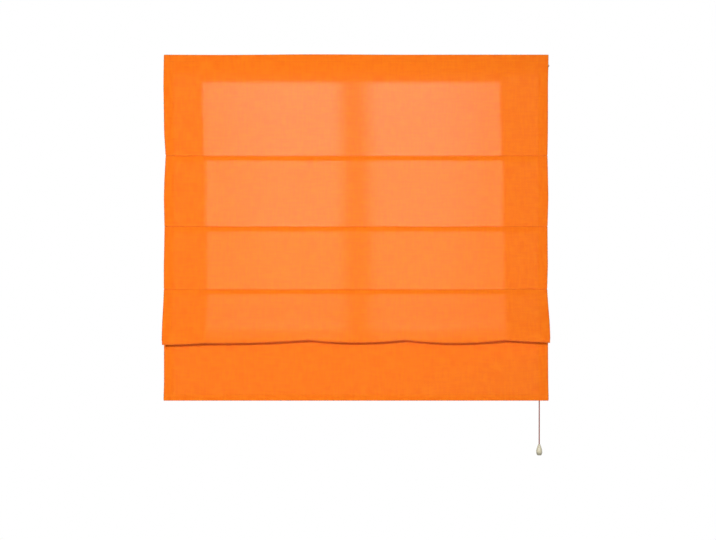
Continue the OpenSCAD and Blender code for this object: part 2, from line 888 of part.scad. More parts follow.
// Radius of the pull at a share u of its height: it swells from the neck to the belly, then rounds off
function drop_r(u) = u < drop_belly
    ? drop_neck_d / 2 + (drop_d - drop_neck_d) / 2 * sin(90 * u / drop_belly) ^ 1.3
    : drop_d / 2 * sqrt(1 - ((u - drop_belly) / drop_round) ^ 2);

module cord_pull() {
    steps = 20;
    color("cornsilk")
        translate([pull_x, cord_y, drop_top])
            rotate_extrude()
                polygon(concat(
                    [for (i = [0:steps]) [drop_r(i / steps), -drop_h * i / steps]],
                    [
                        [drop_knot_d / 2, -drop_h],
                        [drop_knot_d / 2, -drop_bore_l],
                        [pull_d / 2 + fit, -drop_bore_l],
                        [pull_d / 2 + fit, 0]
                    ]
                ));
}

head_rail();
hook_tape();
end_cap(-1);  // end_cap_left
end_cap(1);  // end_cap_right
end_cap_screws();
bracket(0);  // bracket_left
bracket(1);  // bracket_right
clamp_lever(0);  // clamp_lever_left
clamp_lever(1);  // clamp_lever_right
clamp_rivet(0);  // clamp_rivet_left
clamp_rivet(1);  // clamp_rivet_right
cord_lock_body();
lock_roller();
lock_axle();
lock_pin();
blind_cloth();
loop_tape();
weight_bar();
cord_stops();
joiner_top();
joiner_bottom();
pull_cord();
cord_pull();
for (i = [1:RODS]) rod(i - 1);
for (i = [1:RODS]) rings(i - 1);
for (i = [1:CORDS]) cord_guide(i - 1);
for (i = [1:CORDS]) lift_cord(i - 1);
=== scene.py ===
# %% [markdown]
# # A roman blind, drawn up by one fold
# A roman blind is a flat cloth with thin rods sewn into tucks on its back. Cords run up behind it
# through rings, over a head rail and down to a pull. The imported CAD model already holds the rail,
# brackets, rods, rings and cord lock at their true sizes. This lesson dresses that model: it makes
# the cloth, the cords and the sewing as surfaces, and gives every piece a finish.

import bpy
import numpy as np
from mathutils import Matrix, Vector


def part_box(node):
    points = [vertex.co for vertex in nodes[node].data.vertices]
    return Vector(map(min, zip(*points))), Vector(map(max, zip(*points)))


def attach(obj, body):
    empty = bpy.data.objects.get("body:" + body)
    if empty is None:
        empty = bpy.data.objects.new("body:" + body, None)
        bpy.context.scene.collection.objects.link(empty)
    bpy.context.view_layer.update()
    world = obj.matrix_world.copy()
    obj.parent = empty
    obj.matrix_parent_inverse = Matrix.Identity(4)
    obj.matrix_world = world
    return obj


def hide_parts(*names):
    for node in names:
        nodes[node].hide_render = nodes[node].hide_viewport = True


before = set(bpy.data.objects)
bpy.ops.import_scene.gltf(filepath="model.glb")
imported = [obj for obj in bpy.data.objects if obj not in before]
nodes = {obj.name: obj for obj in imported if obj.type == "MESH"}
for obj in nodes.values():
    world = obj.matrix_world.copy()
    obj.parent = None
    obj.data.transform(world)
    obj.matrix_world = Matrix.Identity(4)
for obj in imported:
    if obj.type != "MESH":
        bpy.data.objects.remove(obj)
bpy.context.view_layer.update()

# %% [markdown]
# ## Camera
# The picture shows the blind square on, so the camera looks straight along +Y. Its place follows
# from the picture's scale: one pixel is 3.125 mm on the cloth. The fold that hangs in front looks
# one percent wider than the cloth behind it. With the fold's reach of 32 mm, that ratio gives the
# camera's distance. The lens could be tuned by eye, but here it is worked out from these.

# %% Camera
PICTURE_WIDTH, PICTURE_HEIGHT = 716, 540
PIXEL = 0.003125
CLOTH_MIDDLE_PIXEL = 355.87
CLOTH_TOP_PIXEL = 54.45
CAMERA_DISTANCE = 3.05
SENSOR = 36
# Thickness of the cloth, and of one layer of it with its slack
CLOTH_T = 0.0008
LAYER = 0.0011

cloth_low, cloth_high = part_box("blind_cloth")
cloth_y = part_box("loop_tape")[0].y - LAYER - CLOTH_T / 2
cloth_middle = (cloth_low.x + cloth_high.x) / 2
camera = bpy.data.objects.new("camera", bpy.data.cameras.new("camera"))
camera.location = (
    cloth_middle + (PICTURE_WIDTH / 2 - CLOTH_MIDDLE_PIXEL) * PIXEL,
    cloth_y - CAMERA_DISTANCE,
    cloth_high.z - (PICTURE_HEIGHT / 2 - CLOTH_TOP_PIXEL) * PIXEL,
)
camera.rotation_euler = (np.pi / 2, 0, 0)
camera.data.sensor_width = SENSOR
camera.data.lens = SENSOR * CAMERA_DISTANCE / (PICTURE_WIDTH * PIXEL)
scene = bpy.context.scene
scene.collection.objects.link(camera)
scene.camera = camera
scene.view_settings.view_transform = "Standard"
print("camera at", [round(v, 4) for v in camera.location], "lens", round(camera.data.lens, 2))

# %% [markdown]
# ## Turning arrays into pieces
# Every new piece is a grid of points: rows along one direction, columns along the other. Faces are
# the little four-sided cells between neighbours. bmesh could add them one by one, but whole arrays
# are quicker to write and to run. A piece then rides on a body of the frame, so that it moves with it.

# %% Grids and pieces
def grid_faces(rows, columns, closed=False):
    """Cells of a grid: each point, the one below it, that one's right neighbour and its own.
    A closed grid joins its last column to its first."""
    i = np.arange(rows - 1)[:, None]
    j = np.arange(columns if closed else columns - 1)[None, :]
    right = (j + 1) % columns
    cells = [i * columns + j, (i + 1) * columns + j, (i + 1) * columns + right, i * columns + right]
    return np.stack(cells, -1).reshape(-1, 4)


def add_piece(name, points, faces, material):
    """A smooth mesh object from an array of points and a list of faces, riding on the blind."""
    mesh = bpy.data.meshes.new(name)
    mesh.from_pydata(np.reshape(points, (-1, 3)).tolist(), [], faces)
    mesh.shade_smooth()
    mesh.materials.append(material)
    piece = bpy.data.objects.new(name, mesh)
    scene.collection.objects.link(piece)
    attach(piece, "blind")
    print(name, len(mesh.vertices), "points", len(mesh.polygons), "faces")
    return piece


def add_values(piece, name, values):
    """Stores one number for each point of a piece, for its material to read."""
    attribute = piece.data.attributes.new(name, "FLOAT", "POINT")
    attribute.data.foreach_set("value", np.ravel(values).astype(np.float32))


def add_uv(piece, uv):
    """Stores flat cloth coordinates in metres, one pair for each point, as the piece's UV map."""
    mesh = piece.data
    corner = np.empty(len(mesh.loops), dtype=np.int32)
    mesh.loops.foreach_get("vertex_index", corner)
    layer = mesh.uv_layers.new(name="flat")
    layer.data.foreach_set("uv", np.reshape(uv, (-1, 2))[corner].astype(np.float32).ravel())


# %% [markdown]
# ## Material helpers
# Each finish starts from one Principled shader. Most real finishes differ from a flat colour in
# three ways: the shade drifts a little, the gloss drifts a little, and the surface has a fine
# relief. One noise texture on Object coordinates can drive all three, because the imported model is
# in metres and nothing slides when a piece moves.

# %% Material helpers
def new_finish(name, **constants):
    """A material with one Principled shader. Constants are set on the shader's own sockets."""
    material = bpy.data.materials.new(name)
    material.use_nodes = True
    tree = material.node_tree
    shader = tree.nodes["Principled BSDF"]
    for socket, value in constants.items():
        shader.inputs[socket.replace("_", " ")].default_value = value
    return material, tree, shader


def add_node(tree, kind, settings=(), **inputs):
    """A new node with its settings and input values."""
    node = tree.nodes.new(kind)
    for key, value in dict(settings).items():
        setattr(node, key, value)
    for socket, value in inputs.items():
        node.inputs[socket.replace("_", " ")].default_value = value
    return node


def join(tree, *sockets):
    """Links sockets in pairs: from, to, from, to."""
    for source, target in zip(sockets[::2], sockets[1::2]):
        tree.links.new(source, target)


def colour_between(tree, factor, dark, light):
    """A colour that runs from dark to light as the factor goes from 0 to 1."""
    mix = tree.nodes.new("ShaderNodeMix")
    mix.data_type = "RGBA"
    mix.inputs["A"].default_value = (*dark, 1)
    mix.inputs["B"].default_value = (*light, 1)
    join(tree, factor, mix.inputs["Factor"])
    return mix.outputs["Result"]


def add_bump(tree, shader, height, strength, distance):
    """Fine relief on the shader from a height."""
    bump = add_node(tree, "ShaderNodeBump", Strength=strength, Distance=distance)
    join(tree, height, bump.inputs["Height"], bump.outputs["Normal"], shader.inputs["Normal"])


def grained(name, dark, light, grain, stretch=(1, 1, 1), gloss=(0.4, 0.5), relief=0.1, **constants):
    """A finish whose shade, gloss and relief follow one noise of the given grain size in metres."""
    material, tree, shader = new_finish(name, **constants)
    place = add_node(tree, "ShaderNodeTexCoord")
    mapping = add_node(tree, "ShaderNodeMapping", Scale=stretch)
    noise = add_node(tree, "ShaderNodeTexNoise", Scale=1 / grain, Detail=4)
    rough = add_node(tree, "ShaderNodeMapRange", To_Min=gloss[0], To_Max=gloss[1])
    join(
        tree,
        place.outputs["Object"], mapping.inputs["Vector"],
        mapping.outputs["Vector"], noise.inputs["Vector"],
        noise.outputs["Fac"], rough.inputs["Value"],
        rough.outputs["Result"], shader.inputs["Roughness"],
        colour_between(tree, noise.outputs["Fac"], dark, light), shader.inputs["Base Color"],
    )
    add_bump(tree, shader, noise.outputs["Fac"], relief, grain)
    return material


# %% [markdown]
# ## Cords
# The cords are braided: strands wind both ways round a core and cross each other. A plain round
# tube would look like wire. Here a round profile is carried along the cord's route, and its radius
# swells where a strand passes. The height of the strand is kept on each point, so that the finish
# can paint shade between strands: darker in the grooves, lighter on the tops. The pull cord hangs
# free from its joiner to the knot inside the pull, so its route is repeated from the CAD source.

# %% Cord finish
FUZZ_SCALE = 6000
FUZZ_RELIEF, FUZZ_DEPTH = 0.3, 0.0002


def braided_fibre(name, dark, light):
    """Soft fibre with painted shade: dark in the grooves between the strands and light on their tops.
    """
    material, tree, shader = new_finish(name, Roughness=0.85, Sheen_Weight=0.05)
    shader.inputs["Specular IOR Level"].default_value = 0.15
    strand = add_node(tree, "ShaderNodeAttribute", {"attribute_name": "strand"})
    join(
        tree,
        colour_between(tree, strand.outputs["Fac"], dark, light), shader.inputs["Base Color"],
    )
    fuzz = add_node(tree, "ShaderNodeTexNoise", Scale=FUZZ_SCALE, Detail=2)
    place = add_node(tree, "ShaderNodeTexCoord")
    join(tree, place.outputs["Object"], fuzz.inputs["Vector"])
    add_bump(tree, shader, fuzz.outputs["Fac"], FUZZ_RELIEF, FUZZ_DEPTH)
    return material


# The dark colour is painted shade in the grooves between strands, and the light one is the strand tops
cord_fibre = braided_fibre("cord_fibre", (0.13, 0.026, 0.011), (0.33, 0.058, 0.023))
print("made", cord_fibre.name)


# %% Braided tubes
STRANDS = 3
STRAND_SWELL = 0.06


def spaced(path, step):
    """Points at even steps along a path of straight stretches, and their distances from its start."""
    lengths = np.linalg.norm(np.diff(path, axis=0), axis=1)
    along = np.concatenate([[0], np.cumsum(lengths)])
    distance = np.linspace(0, along[-1], int(along[-1] / step) + 1)
    points = np.stack([np.interp(distance, along, path[:, k]) for k in range(3)], -1)
    return points, distance


def braided_tube(name, points, distance, radius, sides, pitch):
    """Carries a round profile along the points. Its radius is a little more on a strand and as much
    less between strands. Strands are where cos(n * angle + turn) or cos(n * angle - turn) is near
    1, and the turn grows with the distance along the cord, so that two sets of helices cross."""
    tangent = np.gradient(points, axis=0)
    tangent /= np.linalg.norm(tangent, axis=1, keepdims=True)
    side = np.cross(tangent, (0, 1, 0))
    side /= np.linalg.norm(side, axis=1, keepdims=True)
    up = np.cross(side, tangent)
    angle = np.linspace(0, 2 * np.pi, sides, endpoint=False)
    turn = 2 * np.pi * distance[:, None] / pitch
    height = np.maximum(np.cos(STRANDS * angle + turn), np.cos(STRANDS * angle - turn))
    reach = (np.reshape(radius, (-1, 1)) * (1 + STRAND_SWELL * height))[..., None]
    ring = np.cos(angle)[None, :, None] * side[:, None] + np.sin(angle)[None, :, None] * up[:, None]
    rows = len(points)
    faces = grid_faces(rows, sides, closed=True).tolist()
    faces += [list(range(sides)), list(range(rows * sides - 1, (rows - 1) * sides - 1, -1))]
    tube = add_piece(name, points[:, None] + reach * ring, faces, cord_fibre)
    add_values(tube, "strand", (height + 1) / 2)
    return tube


# %% Pull cord
PULL_D = 0.0035
PULL_KNOT_D = 0.0064
KNOT_SHOULDER_D = 0.7 * PULL_KNOT_D
CORD_SOCKET = 0.0098
PULL_STEP, PULL_SIDES, PULL_PITCH = 0.0012, 10, 0.009
# Sideways, depthways and down from the joiner's socket to the knot, as in the CAD source
PULL_ROUTE = np.array([
    (0, 0, 0), (0, 0, 0.030), (0.0002, 0, 0.080), (0.0004, 0, 0.130), (0.0005, 0.0001, 0.180),
    (0.0005, 0.0002, 0.230), (0.0004, 0.0003, 0.280), (0.0002, 0.0003, 0.330), (0, 0.0002, 0.380),
    (-0.0002, 0, 0.430), (-0.0003, 0, 0.480), (-0.0004, -0.0001, 0.530), (-0.0004, -0.0002, 0.580),
    (-0.0003, -0.0002, 0.630), (-0.0002, -0.0001, 0.680), (0, 0, 0.730), (0.0001, 0, 0.780),
    (0.0002, 0.0001, 0.830), (0.0002, 0.0001, 0.880), (0.0001, 0, 0.930), (0, 0, 0.980),
    (0, 0, 1.010), (0, 0, 1.028),
])
# The knot: how far down and how thick it is, after the end of the plain cord
KNOT_DROPS = PULL_D * np.array([0, 1, 2, 3])
KNOT_THICK = [PULL_D, KNOT_SHOULDER_D, PULL_KNOT_D, KNOT_SHOULDER_D]

pull_low, pull_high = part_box("cord_pull")
joiner_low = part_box("joiner_bottom")[0]
pull_middle = (pull_low + pull_high) / 2
exit_point = np.array([pull_middle.x, pull_middle.y, joiner_low.z])
knot_route = PULL_ROUTE[-1] + KNOT_DROPS[1:, None] * (0, 0, 1)
pull_path = exit_point + (0, 0, CORD_SOCKET) + np.concatenate([PULL_ROUTE, knot_route]) * (1, 1, -1)
points, distance = spaced(pull_path, PULL_STEP)
thick = np.interp(distance, distance[-1] - KNOT_DROPS[::-1], KNOT_THICK)
pull_cord = braided_tube(
    "braided_pull_cord", points, distance, thick / 2, PULL_SIDES, PULL_PITCH
)
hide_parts("pull_cord")
print("pull cord", round(distance[-1], 4), "m long")

# %% Lift cords
CORD_D = 0.0014
LIFT_KNOT_D = 0.004
BEND = 0.005
BEND_POINTS = 13
JOINER_CUP = 0.011
CORDS = 4
LIFT_STEP, LIFT_SIDES, LIFT_PITCH = 0.0016, 8, 0.006


def quarter_turn(centre_x, centre_z, start):
    """An arc of the cord over a saddle: a quarter clockwise from the start angle in degrees."""
    angle = np.radians(np.linspace(start, start - 90, BEND_POINTS))
    return np.stack([centre_x + BEND * np.cos(angle), centre_z + BEND * np.sin(angle)], -1)


def lift_route(low, high):
    """Up behind the cloth, over the guide's saddle, along the rail, over the roller and down."""
    up_x = low.x + LIFT_KNOT_D / 2
    down_x = high.x - CORD_D / 2
    saddle_z = high.z - CORD_D / 2 - BEND
    end_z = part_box("joiner_top")[1].z - JOINER_CUP
    turns = [quarter_turn(up_x + BEND, saddle_z, 180), quarter_turn(down_x - BEND, saddle_z, 90)]
    flat = np.concatenate([[(up_x, low.z)], *turns, [(down_x, end_z)]])
    return np.insert(flat, 1, (low.y + high.y) / 2, axis=1)


for number in range(1, CORDS + 1):
    route = lift_route(*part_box(f"lift_cord_{number}"))
    points, distance = spaced(route, LIFT_STEP)
    ball = np.sqrt(np.maximum(0, distance * (LIFT_KNOT_D - distance)))
    radius = np.maximum(CORD_D / 2, ball)
    lift_cord = braided_tube(
        f"braided_lift_cord_{number}", points, distance, radius, LIFT_SIDES, LIFT_PITCH
    )
    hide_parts(f"lift_cord_{number}")
    print("lift cord", number, round(distance[-1], 3), "m long")

# %% [markdown]
# ## Cloth
# The cloth is one sheet. From its raw edge behind the rail it goes up over the top hem, down the
# front, and at each rod it makes a tuck: back over a seam, round the rod, and up to the seam again.
# Below the third rod it swings forward in a soft fold, rises behind that fold to the lowest rod and
# hangs down to the weight bar. So its section is a line of straight stretches, arcs and curves, and
# the sheet is that line carried across the width. A cloth simulation could drape it, but the tucks
# must hold rods of known size, and a worked-out line keeps every layer clear of its neighbours.

# %% Cloth: pieces of the section
CROWDING = 0.85


def pair(depth, height):
    """Depth and height as one array, spread over the width where either changes with it."""
    return np.stack(np.broadcast_arrays(depth, height), -1)


def steps(count):
    """Even shares from 0 up to 1, without 1, as a column."""
    return np.linspace(0, 1, count, endpoint=False)[:, None]


def crowded(count):
    """Shares from 0 up to 1, without 1, that lie closer together near both ends:
    u - CROWDING * sin(2 pi u) / (2 pi)."""
    u = steps(count)
    return u - CROWDING * np.sin(2 * np.pi * u) / (2 * np.pi)


def line(a, b, count, spacing=steps):
    """A straight stretch from a to b."""
    t = spacing(count)
    return pair(a[0] + (b[0] - a[0]) * t, a[1] + (b[1] - a[1]) * t)


def arc(centre, radius, start, stop, count):
    """An arc about a centre, from one angle to another in degrees."""
    angle = np.radians(start + (stop - start) * steps(count))
    return pair(centre[0] + radius * np.cos(angle), centre[1] + radius * np.sin(angle))


def curve(a, b, c, d, count):
    """A cubic curve from a to d that leaves towards b and arrives from c."""
    t = steps(count)
    weights = [(1 - t) ** 3, 3 * (1 - t) ** 2 * t, 3 * (1 - t) * t**2, t**3]
    return pair(*(sum(w * p[k] for w, p in zip(weights, (a, b, c, d))) for k in (0, 1)))


# %% Cloth: sizes
RODS = 4
TOP_HEM = 0.024
BOTTOM_HEM = 0.022
TUCK = 0.0155
POCKET_R = 0.00265
ROD_Y = LAYER + POCKET_R
ROD_DROP = TUCK - POCKET_R - CLOTH_T / 2
NECK_ANGLE = 10
FOLD_REACH = 0.032
FOLD_R = 0.006
FLAP_Y = ROD_Y + LAYER / 2
BAR_WRAP = 0.0043
BAR_STRAIGHT = 0.012
PANEL_ROWS = 30

rod_heights = [sum(corner.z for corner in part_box(f"rod_{n}")) / 2 for n in range(1, RODS + 1)]
seams = [height + ROD_DROP for height in rod_heights[:-1]]
low_seam = rod_heights[-1] - ROD_DROP
top_turn = cloth_high.z - (LAYER + CLOTH_T) / 2
bar_turn = cloth_low.z + (BAR_WRAP + CLOTH_T) / 2
left_edge, right_edge = cloth_low.x, cloth_high.x
cord_xs = [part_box(f"lift_cord_{n}")[0].x + LIFT_KNOT_D / 2 for n in range(1, CORDS + 1)]
print("seams at", [round(z, 4) for z in [*seams, low_seam]], "cords at", np.round(cord_xs, 4))

# %% [markdown]
# The fold doesn't hang level. Each lift cord holds it up a little, and between cords it sags. The
# heights below are read from the picture: one for each cord and each side edge, and one sag for
# each span between them. Where a peak of the fold lies a little beside its cord, it is moved there.

# %% Cloth: bottom of the fold
HOLD_HEIGHTS = [-0.8808, -0.8755, -0.8656, -0.8655, -0.8667, -0.8742]
SAGS = np.array([0.0010, 0.0035, 0.0084, 0.0092, 0.0])
HOLD_MOVES = [0, 0, 0.0040, -0.0085, -0.0135, 0]
holds = np.array([left_edge, *cord_xs, right_edge]) + HOLD_MOVES


def fold_bottom(x):
    """A straight line between neighbouring holds, lowered by 4 * sag * u * (1 - u), where u runs
    from 0 to 1 across the span."""
    span = np.clip(np.searchsorted(holds, x) - 1, 0, len(SAGS) - 1)
    u = (x - holds[span]) / (holds[span + 1] - holds[span])
    return np.interp(x, holds, HOLD_HEIGHTS) - 4 * SAGS[span] * u * (1 - u)


print("fold hangs to", np.round(fold_bottom(np.linspace(left_edge, right_edge, 5)), 4))


# %% Cloth: the whole section
def on_pocket(rod, angle):
    """The point of a rod pocket at an angle in degrees about its rod."""
    turn = np.radians(angle)
    return (rod[0] + POCKET_R * np.cos(turn), rod[1] + POCKET_R * np.sin(turn))


def tuck(z):
    """Back over the seam at height z, round the rod, and up to the seam again. The curve over the
    seam is set out in layers of cloth."""
    start, neck = (0, z + 2 * LAYER), (2.4 * LAYER, z - 0.8 * LAYER)
    over = curve(start, (0, z + 0.8 * LAYER), (1.7 * LAYER, z + 0.5 * LAYER), neck, 6)
    rod = (ROD_Y, z - ROD_DROP)
    return [
        over,
        line(neck, on_pocket(rod, NECK_ANGLE), 3),
        arc(rod, POCKET_R, NECK_ANGLE, -180, 10),
        line((LAYER, rod[1]), (LAYER, z - LAYER), 4),
        arc((LAYER / 2, z - LAYER), LAYER / 2, 0, 180, 6),
    ]


def fold(x):
    """Forward and down to the front of the fold, round its bottom, and up behind it."""
    low = fold_bottom(x)
    front = (-FOLD_REACH, low + FOLD_R)
    back = (2 * FOLD_R - FOLD_REACH, low + FOLD_R)
    start, end = (0, seams[-1] - LAYER), (ROD_Y - LAYER / 2, low_seam)
    lean, climb = (start[1] - front[1]) / 3, (end[1] - back[1]) / 3
    out = (-FOLD_REACH / 5, start[1] - lean)
    return [
        curve(start, out, (front[0], front[1] + lean), front, 26),
        arc(((front[0] + back[0]) / 2, front[1]), FOLD_R, 180, 360, 16),
        curve(back, (back[0], back[1] + climb), (end[0], end[1] - climb), end, 8),
    ]


def bottom_hem():
    """Round the weight bar, up its back and in to the hem's stitching."""
    middle = FLAP_Y + BAR_WRAP / 2
    top = (FLAP_Y + BAR_WRAP, bar_turn + BAR_STRAIGHT)
    edge = (FLAP_Y + LAYER, cloth_low.z + BOTTOM_HEM)
    return [
        arc((middle, bar_turn), BAR_WRAP / 2, 180, 360, 10),
        line((FLAP_Y + BAR_WRAP, bar_turn), top, 4),
        line(top, edge, 4),
    ]


def section(x):
    """All stretches from the top hem's raw edge to the bottom hem's, and the slack of each row:
    0 where the cloth is held, rising to 1 in the middle of a free panel. The last value gives the
    rows of each free panel, from the top panel to the flap."""
    stretches = [
        line((LAYER, cloth_high.z - TOP_HEM), (LAYER, top_turn), 5),
        arc((LAYER / 2, top_turn), LAYER / 2, 0, 180, 8),
    ]
    panels = []
    above = top_turn
    for z in seams:
        panels.append(len(stretches))
        stretches += [line((0, above), (0, z + 2 * LAYER), PANEL_ROWS, crowded), *tuck(z)]
        above = z - LAYER
    panels.append(len(stretches))
    stretches += fold(x)
    low_rod = (ROD_Y, low_seam + ROD_DROP)
    stretches += [
        arc(low_rod, POCKET_R, 180 + NECK_ANGLE, -NECK_ANGLE, 14),
        line(on_pocket(low_rod, -NECK_ANGLE), (FLAP_Y, low_seam), 4),
    ]
    panels.append(len(stretches))
    stretches += [line((FLAP_Y, low_seam), (FLAP_Y, bar_turn), PANEL_ROWS, crowded), *bottom_hem()]
    counts = [len(s) for s in stretches]
    first = np.concatenate([[0], np.cumsum(counts)])
    slack = np.zeros(first[-1])
    for panel in panels:
        share = stretches[panel][:, 0, 1]
        share = (share - share[0]) / (share[-1] - share[0])
        slack[first[panel]:first[panel + 1]] = np.sin(np.pi * share)
    wide = [np.broadcast_to(s, (len(s), len(x), 2)) for s in stretches]
    return np.concatenate(wide), slack, [slice(first[p], first[p + 1]) for p in panels]


# %% [markdown]
# A real sheet is never quite flat. Free panels billow by a millimetre or two, and the side edges
# pull in a little where the rods hold the cloth. The edge offsets are read from the picture, at
# heights down the blind. Both are small moves of the finished grid, so the tucks stay in step.

# %% Cloth: billows and edges
# Height, and the moves of the left and the right edge there
EDGE_MOVES = np.array([
    (-1.058, -0.0016, 0.0028), (-1.0, 0.0003, 0.0016), (-0.80, 0.0, 0.0004),
    (-0.706, 0.0003, -0.0025), (-0.631, 0.0, 0.0), (-0.518, 0.0025, -0.0016),
    (-0.424, 0.0, 0.0013), (-0.368, 0.0016, 0.0002), (-0.293, 0.0060, -0.0017),
    (-0.218, 0.0011, -0.0005), (-0.068, -0.0009, -0.0004), (0.025, 0.0004, 0.0016),
])
EDGE_SPREAD = 0.05
# The bow of the top edge: a wave that starts at one width, dies away from another, and fades down
TOP_BOW, BOW_LENGTH, BOW_FADE = 0.0011, 0.72, 0.03
BOW_START, BOW_MIDDLE, BOW_SPREAD = -0.28, -0.25, 0.35
TOP_ROLL, TOP_ROLL_SPREAD = 0.0020, 0.003
SIDE_ROLL, SIDE_ROLL_SPREAD = 0.0008, 0.002
# Size, turn for each metre of width, turn for each metre of height, and phase of each wave
BILLOWS = [(0.0013, 6.3, 3.1, 0.0), (0.0008, 14.9, -7.3, 1.0), (0.0004, 37.0, 5.0, 2.0)]


def billow(x, z):
    """Low waves along the width whose phase drifts with height, in metres of depth: the sum of
    size * sin(across * x + down * z + phase)."""
    return sum(size * np.sin(across * x + down * z + phase) for size, across, down, phase in BILLOWS)


def cloth_points(x):
    """The section carried across the widths x, with billows in its free panels, its side edges
    moved as measured, and a slight bow in its top edge. The top and side edges roll back by an
    amount that dies away from the edge."""
    flat, slack, panels = section(x)
    depth, z = flat[..., 0], flat[..., 1]
    depth = depth + slack[:, None] * billow(x, z)
    depth = depth + TOP_ROLL * np.exp((z - cloth_high.z) / TOP_ROLL_SPREAD)
    inset = np.minimum(x - left_edge, right_edge - x)
    depth = depth + SIDE_ROLL * np.exp(-inset / SIDE_ROLL_SPREAD)
    heights, left_moves, right_moves = EDGE_MOVES.T
    left = np.exp((left_edge - x) / EDGE_SPREAD) * np.interp(z, heights, left_moves)
    right = np.exp((x - right_edge) / EDGE_SPREAD) * np.interp(z, heights, right_moves)
    bow = TOP_BOW * np.sin(2 * np.pi * (x - BOW_START) / BOW_LENGTH)
    bow = bow * np.exp((z - cloth_high.z) / BOW_FADE) * np.exp(-((x - BOW_MIDDLE) / BOW_SPREAD) ** 2)
    return np.stack([x + left + right, cloth_y + depth, z + bow], -1), panels


SPAN_COLUMNS = [15, 35, 35, 35, 15]
EDGE_COLUMNS = np.array([0, 0.001, 0.002, 0.0035, 0.0055])

spans = [np.linspace(*span, endpoint=False) for span in zip(holds[:-1], holds[1:], SPAN_COLUMNS)]
widths = np.sort(np.concatenate([*spans, left_edge + EDGE_COLUMNS[1:], right_edge - EDGE_COLUMNS]))
cloth_grid, panel_rows = cloth_points(widths)
down_cloth = np.linalg.norm(np.diff(cloth_grid, axis=0), axis=-1)
down_cloth = np.concatenate([np.zeros((1, len(widths))), np.cumsum(down_cloth, axis=0)])

# %% [markdown]
# ## Cloth finish
# The cloth is a plain weave of slubby threads, and light from behind shows through it. A Principled
# shader gives the dyed threads, and a Translucent shader mixed into it lets light pass. The weave
# is drawn on the UV map, which holds flat cloth metres, so it runs round every fold. Two wave
# textures are the threads, and a checker says which one lies on top. Long thin noises across and
# along make some threads thicker and paler than others.

# %% Cloth finish
THREAD = 0.0009
# Blender's wave texture turns by 20 radians for each unit of its scale
WAVE_SCALE = 2 * np.pi / (20 * 2 * THREAD)
SLUBS = (24, 150)
SLUB_LOW, SLUB_HIGH = 0.8, 1.2
WEAVE_RELIEF, WEAVE_DEPTH = 0.35, 0.0003


def streaks(tree, flat, stretch):
    """Noise drawn out along one direction of the cloth, as thick and thin threads are."""
    mapping = add_node(tree, "ShaderNodeMapping", Scale=(*stretch, 1))
    noise = add_node(tree, "ShaderNodeTexNoise", Scale=1, Detail=3)
    join(tree, flat, mapping.inputs["Vector"], mapping.outputs["Vector"], noise.inputs["Vector"])
    return noise.outputs["Fac"]


def mixed(tree, a, b, operation):
    """One number from two sockets."""
    math = add_node(tree, "ShaderNodeMath", {"operation": operation})
    join(tree, a, math.inputs[0], b, math.inputs[1])
    return math.outputs["Value"]


def weave_height(tree, flat):
    """Height of a plain weave: round threads both ways, and a checker for which one is on top."""
    threads = [
        add_node(
            tree, "ShaderNodeTexWave", {"wave_type": "BANDS", "bands_direction": way}, Scale=WAVE_SCALE
        )
        for way in "XY"
    ]
    over = add_node(tree, "ShaderNodeTexChecker", Scale=1 / THREAD)
    top = tree.nodes.new("ShaderNodeMix")
    join(
        tree,
        flat, threads[0].inputs["Vector"],
        flat, threads[1].inputs["Vector"],
        flat, over.inputs["Vector"],
        over.outputs["Fac"], top.inputs["Factor"],
        threads[0].outputs["Fac"], top.inputs["A"],
        threads[1].outputs["Fac"], top.inputs["B"],
    )
    return top.outputs["Result"]


def woven_cloth(name, dark, light, through, share):
    """Dyed plain weave that lets some light pass. Through is the tint of that light for thin and
    thick threads, and share is how much of the cloth is translucent."""
    material, tree, shader = new_finish(name, Roughness=0.9, Sheen_Weight=0.05, Sheen_Roughness=0.6)
    shader.inputs["Specular IOR Level"].default_value = 0.03
    flat = add_node(tree, "ShaderNodeTexCoord").outputs["UV"]
    slubs = mixed(tree, streaks(tree, flat, SLUBS), streaks(tree, flat, SLUBS[::-1]), "ADD")
    spread = add_node(tree, "ShaderNodeMapRange", From_Min=SLUB_LOW, From_Max=SLUB_HIGH)
    join(tree, slubs, spread.inputs["Value"])
    thick = spread.outputs["Result"]
    height = mixed(tree, weave_height(tree, flat), thick, "ADD")
    add_bump(tree, shader, height, WEAVE_RELIEF, WEAVE_DEPTH)
    passing = tree.nodes.new("ShaderNodeBsdfTranslucent")
    mix = add_node(tree, "ShaderNodeMixShader", Fac=share)
    join(
        tree,
        colour_between(tree, thick, dark, light), shader.inputs["Base Color"],
        colour_between(tree, thick, *through), passing.inputs["Color"],
        shader.outputs["BSDF"], mix.inputs[1],
        passing.outputs["BSDF"], mix.inputs[2],
        mix.outputs["Shader"], tree.nodes["Material Output"].inputs["Surface"],
    )
    return material


cloth_orange = woven_cloth(
    "cloth_orange", dark=(0.94, 0.166, 0.007), light=(0.98, 0.216, 0.0105),
    through=[(1, 0.98, 0.83), (0.96, 0.88, 0.745)], share=0.12,
)
thread_orange = grained(
    "thread_orange", (0.66, 0.15, 0.022), (0.84, 0.22, 0.036), grain=0.0006, relief=0.3
)
print("made", cloth_orange.name, thread_orange.name)

# %% [markdown]
# ## Two faces of the sheet
# Cloth has a front face and a back face, most of a millimetre apart. A Solidify modifier could make
# both at once, but then one object holds both, and a lamp can't be meant for the front face alone.
# So the grid is moved half a thickness each way along its own normal. The front face also takes the
# narrow rim that joins the two along the sheet's border.

